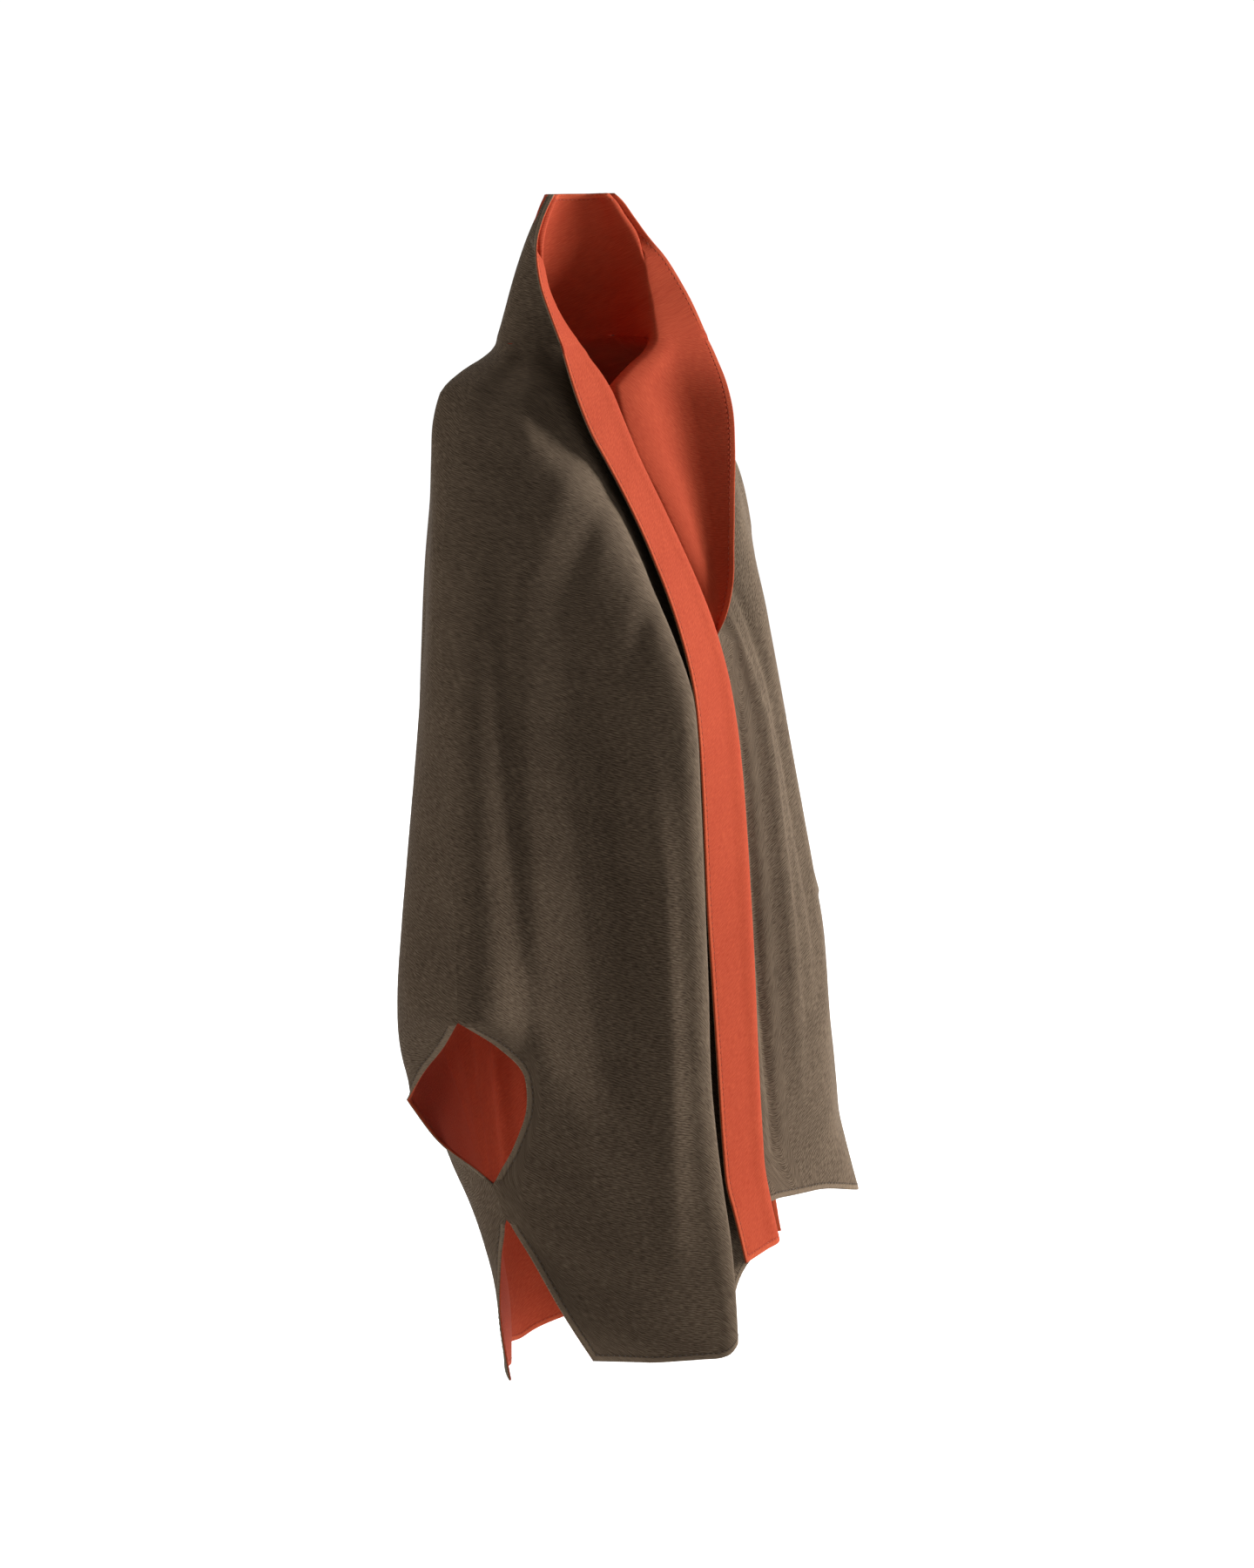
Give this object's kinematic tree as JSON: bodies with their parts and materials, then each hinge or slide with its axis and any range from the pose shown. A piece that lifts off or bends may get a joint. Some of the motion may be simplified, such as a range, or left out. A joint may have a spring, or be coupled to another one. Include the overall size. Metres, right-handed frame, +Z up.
{
  "type": "cape",
  "caption": "Knee-length double-faced wool cape with turned back front lapels, a standing collar, hand openings and side slits, held in its worn shape.",
  "frame": {"origin": "middle of the neck hollow, level with the seam between collar and body", "axes": "+Z up, the wearer faces -Y, the wearer's right is -X"},
  "size_m": [0.6122, 0.3315, 1.0211],
  "materials": {
    "taupe_cloth": "brushed matte wool twill",
    "rust_cloth": "brushed matte wool felt"
  },
  "bodies": {
    "root": {"back": "taupe_cloth", "front_left": "taupe_cloth", "front_right": "taupe_cloth", "collar": "rust_cloth"}
  },
  "joints": []
}
